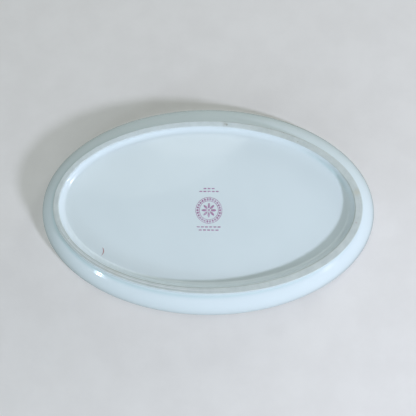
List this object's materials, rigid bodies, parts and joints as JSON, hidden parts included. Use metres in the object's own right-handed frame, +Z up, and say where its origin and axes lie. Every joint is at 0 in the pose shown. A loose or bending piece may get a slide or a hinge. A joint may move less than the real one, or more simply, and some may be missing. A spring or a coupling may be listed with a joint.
{
  "type": "oval serving platter",
  "caption": "Shallow oval serving platter in white glazed bone china with a curved wall, a rounded lip and a continuous oval foot ring, bare along its standing edge, under a recessed base.",
  "frame": {"origin": "middle of the plane that the foot ring stands on", "axes": "+X along the platter's length, +Y across its width, +Z up through the eating side"},
  "size_m": [0.236, 0.147, 0.0212],
  "materials": {
    "biscuit": "matte",
    "glaze": "gloss",
    "mark_ink": "gloss",
    "tick_ink": "gloss"
  },
  "bodies": {
    "root": {"china_body": "biscuit", "foot_ring": "biscuit", "glaze_coat": "glaze", "glaze_base": "glaze", "mark_ring": "mark_ink", "mark_rosette": "mark_ink", "mark_dashes": "mark_ink", "painter_tick": "tick_ink"}
  },
  "joints": []
}
